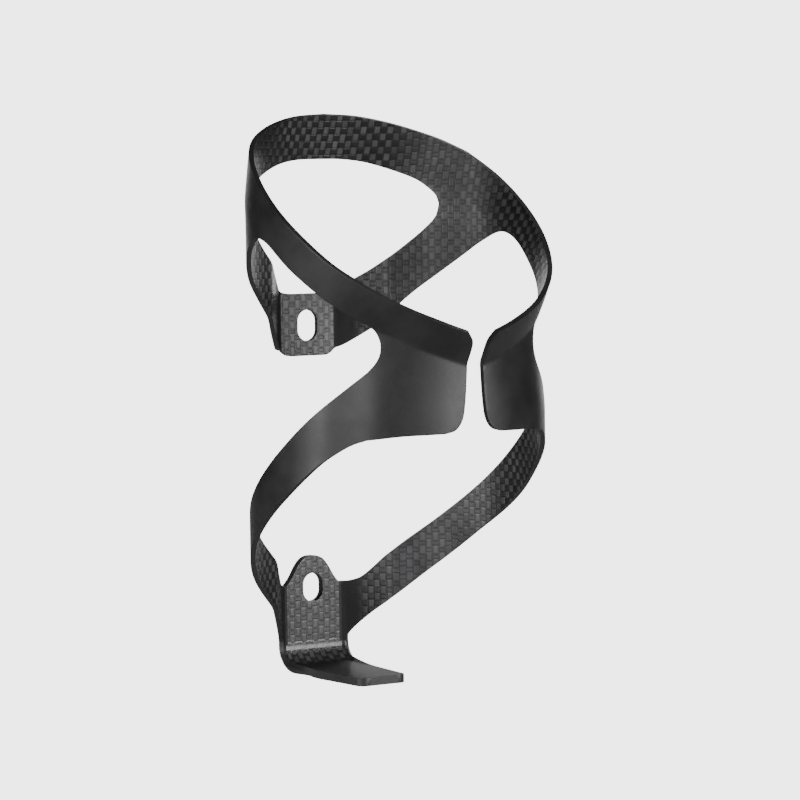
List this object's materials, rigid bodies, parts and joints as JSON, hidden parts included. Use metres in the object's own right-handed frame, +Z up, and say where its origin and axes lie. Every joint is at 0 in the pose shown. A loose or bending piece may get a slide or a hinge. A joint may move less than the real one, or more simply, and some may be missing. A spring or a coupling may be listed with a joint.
{
  "type": "water bottle cage",
  "caption": "Carbon bicycle bottle cage: slotted mount plates, an open hoop with struts, side arms ending in grip wings, lower arms and a bottom shelf.",
  "frame": {"origin": "on the lower mount plate's back face, on the centreline, 10 mm below the centre of the lower bolt slot", "axes": "+Z up along the bottle axis, +Y towards the bicycle tube, +X to the right seen from the bottle side"},
  "size_m": [0.0692, 0.0788, 0.1354],
  "materials": {
    "woven_carbon": "satin woven carbon laminate",
    "satin_carbon": "smooth satin black carbon laminate"
  },
  "bodies": {
    "cage_base": {"upper_mount_plate": "woven_carbon", "lower_mount_plate": "woven_carbon", "bottom_shelf": "satin_carbon", "back_band": "woven_carbon", "left_upper_strut": "woven_carbon", "right_upper_strut": "woven_carbon", "left_lower_strut": "woven_carbon", "right_lower_strut": "woven_carbon"},
    "left_arm": {"left_side_arm": "satin_carbon", "left_grip_wing": "satin_carbon", "left_lower_arm": "satin_carbon"},
    "right_arm": {"right_side_arm": "satin_carbon", "right_grip_wing": "satin_carbon", "right_lower_arm": "satin_carbon"}
  },
  "joints": [
    {"name": "left_arm_flex", "type": "hinge", "parent": "cage_base", "child": "left_arm", "pos_m": [-0.03, -0.026, 0.06], "axis": [0, 0, -1], "range_deg": [0, 4], "stiffness_Nm_per_rad": 17},
    {"name": "right_arm_flex", "type": "hinge", "parent": "cage_base", "child": "right_arm", "pos_m": [0.03, -0.026, 0.06], "axis": [0, 0, 1], "range_deg": [0, 4], "stiffness_Nm_per_rad": 17}
  ]
}
